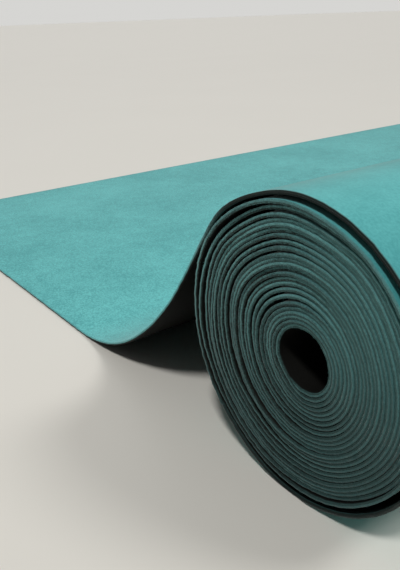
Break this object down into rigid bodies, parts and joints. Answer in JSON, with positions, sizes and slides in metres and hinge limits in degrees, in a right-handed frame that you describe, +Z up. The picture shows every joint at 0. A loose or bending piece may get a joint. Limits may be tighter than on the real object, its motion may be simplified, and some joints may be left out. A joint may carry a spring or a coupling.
{
  "type": "sheet roll",
  "caption": "Coreless roll of two-ply fibre-faced sheet on its side, its free end drawn off over the top and laid flat.",
  "frame": {"origin": "middle of the footprint, on the surface that the roll and its free end lie on", "axes": "+Y along the coil to its far end, +X away from the sheet's free end, +Z up"},
  "size_m": [0.7308, 1, 0.152],
  "materials": {
    "face_ply": "matte",
    "backing_ply": "matte"
  },
  "bodies": {
    "outer_turn": {"outer_turn_backing_ply": "backing_ply", "outer_turn_face_ply": "face_ply"},
    "coil": {"coil_backing_ply": "backing_ply", "coil_face_ply": "face_ply"},
    "laid": {"laid_backing_ply": "backing_ply", "laid_face_ply": "face_ply"},
    "free_end": {"free_end_backing_ply": "backing_ply", "free_end_face_ply": "face_ply"}
  },
  "joints": [
    {"name": "coil_turn", "type": "hinge", "parent": "outer_turn", "child": "coil", "pos_m": [0.28939, 0, 0.076], "axis": [0, -1, 0], "range_deg": [0, 180]},
    {"name": "sheet_draw", "type": "slide", "parent": "outer_turn", "child": "laid", "axis": [-1, 0, 0], "range_m": [0, 0.2358]},
    {"name": "free_end_lift", "type": "hinge", "parent": "laid", "child": "free_end", "pos_m": [-0.11919, 0, 0.0019], "axis": [0, 1, 0], "range_deg": [0, 75]}
  ],
  "couplings": [
    {"joint": "sheet_draw", "follows": "coil_turn", "m_per_rad": 0.07505}
  ]
}
